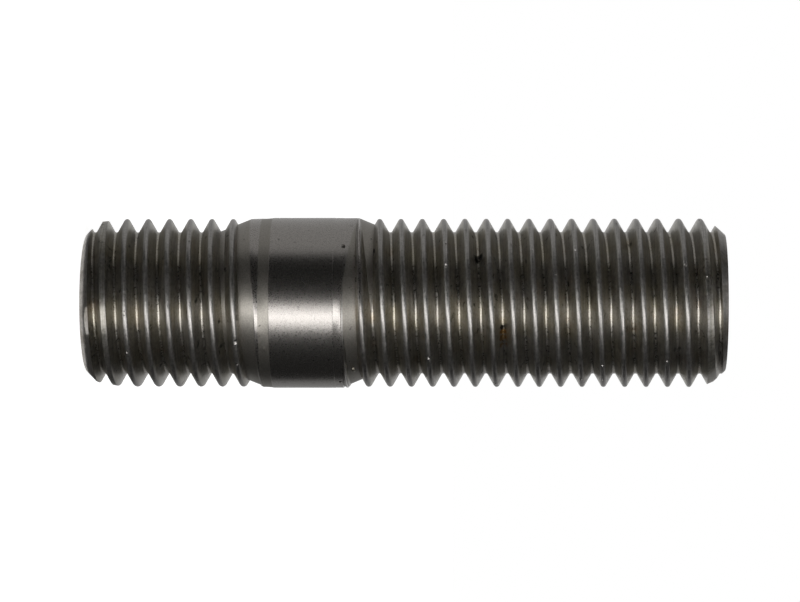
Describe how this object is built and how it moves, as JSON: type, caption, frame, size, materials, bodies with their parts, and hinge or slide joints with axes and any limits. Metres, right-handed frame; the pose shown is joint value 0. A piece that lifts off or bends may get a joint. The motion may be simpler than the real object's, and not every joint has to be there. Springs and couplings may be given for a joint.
{
  "type": "threaded stud",
  "caption": "Double-ended steel stud with a short thread, a plain shank and a long thread, for clamping a part to a tapped body with a nut.",
  "frame": {"origin": "centre of the metal end's flat face, on the stud's axis", "axes": "+Z along the axis from the short metal end towards the long nut end; X and Y are across the axis"},
  "size_m": [0.02, 0.02, 0.075],
  "materials": {
    "steel": "bare turned steel, dull and oily in the thread grooves, brighter on the crests and the plain shank"
  },
  "bodies": {
    "root": {"stud": "steel"}
  },
  "joints": []
}
